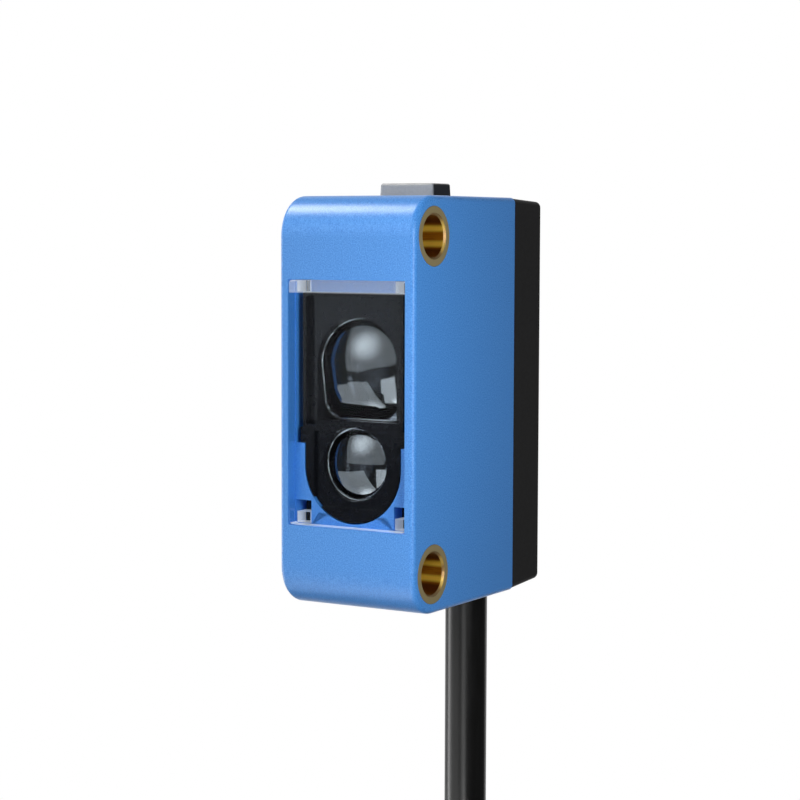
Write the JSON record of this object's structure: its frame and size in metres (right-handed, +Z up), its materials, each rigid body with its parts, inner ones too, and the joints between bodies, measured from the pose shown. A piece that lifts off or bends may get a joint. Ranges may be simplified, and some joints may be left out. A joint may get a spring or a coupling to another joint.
{
  "type": "color mark sensor",
  "caption": "Miniature photoelectric color mark sensor in a block housing, with a clear front window, two cross bores, a teach button and a fixed cable.",
  "frame": {"origin": "midway between the two mounting bores, on the centre plane", "axes": "+X along the mounting bores, -Y out of the window, +Z up, away from the cable"},
  "size_m": [0.0185, 0.0576, 0.1508],
  "materials": {
    "blue_abs": "fine moulded grain",
    "black_abs": "satin moulded",
    "optics_black": "polished mould",
    "clear_pmma": "clear, polished",
    "lens_clear": "clear, polished",
    "brass": "turned",
    "grey_button": "satin moulded",
    "silicone": "smooth",
    "board_green": "solder mask",
    "chip_black": "moulded epoxy",
    "led_white": "moulded",
    "pipe_clear": "frosted clear",
    "pvc_black": "satin extruded",
    "core_brown": "extruded",
    "core_white": "extruded",
    "core_blue": "extruded",
    "core_black": "extruded",
    "tinned_copper": "tinned strands",
    "nylon_black": "moulded"
  },
  "bodies": {
    "housing": {"front_housing": "blue_abs", "rear_cover": "black_abs", "upper_sleeve": "brass", "lower_sleeve": "brass", "front_window": "clear_pmma", "lens_carrier": "optics_black", "receiver_lens": "lens_clear", "emitter_lens": "lens_clear", "sensor_board": "board_green", "main_board": "board_green", "photodiode": "chip_black", "rgb_emitter": "led_white", "microcontroller": "chip_black", "output_driver": "chip_black", "board_header": "chip_black", "indicator_green": "led_white", "indicator_orange": "led_white", "light_pipe_green": "pipe_clear", "light_pipe_orange": "pipe_clear", "button_seal": "silicone", "switch_body": "chip_black", "cable_clamp": "black_abs", "inner_lead_brown": "core_brown", "inner_lead_white": "core_white", "inner_lead_blue": "core_blue", "inner_lead_black": "core_black", "cable_lead": "pvc_black", "cable_coil": "pvc_black", "cable_tail": "pvc_black", "cable_tie": "nylon_black", "core_brown": "core_brown", "core_white": "core_white", "core_blue": "core_blue", "core_black": "core_black", "core_ends": "tinned_copper"},
    "teach_button": {"teach_button": "grey_button", "switch_plunger": "led_white"}
  },
  "joints": [
    {"name": "teach_press", "type": "slide", "parent": "housing", "child": "teach_button", "axis": [0, 0, -1], "range_m": [0, 0.0003], "stiffness_N_per_m": 4000}
  ]
}
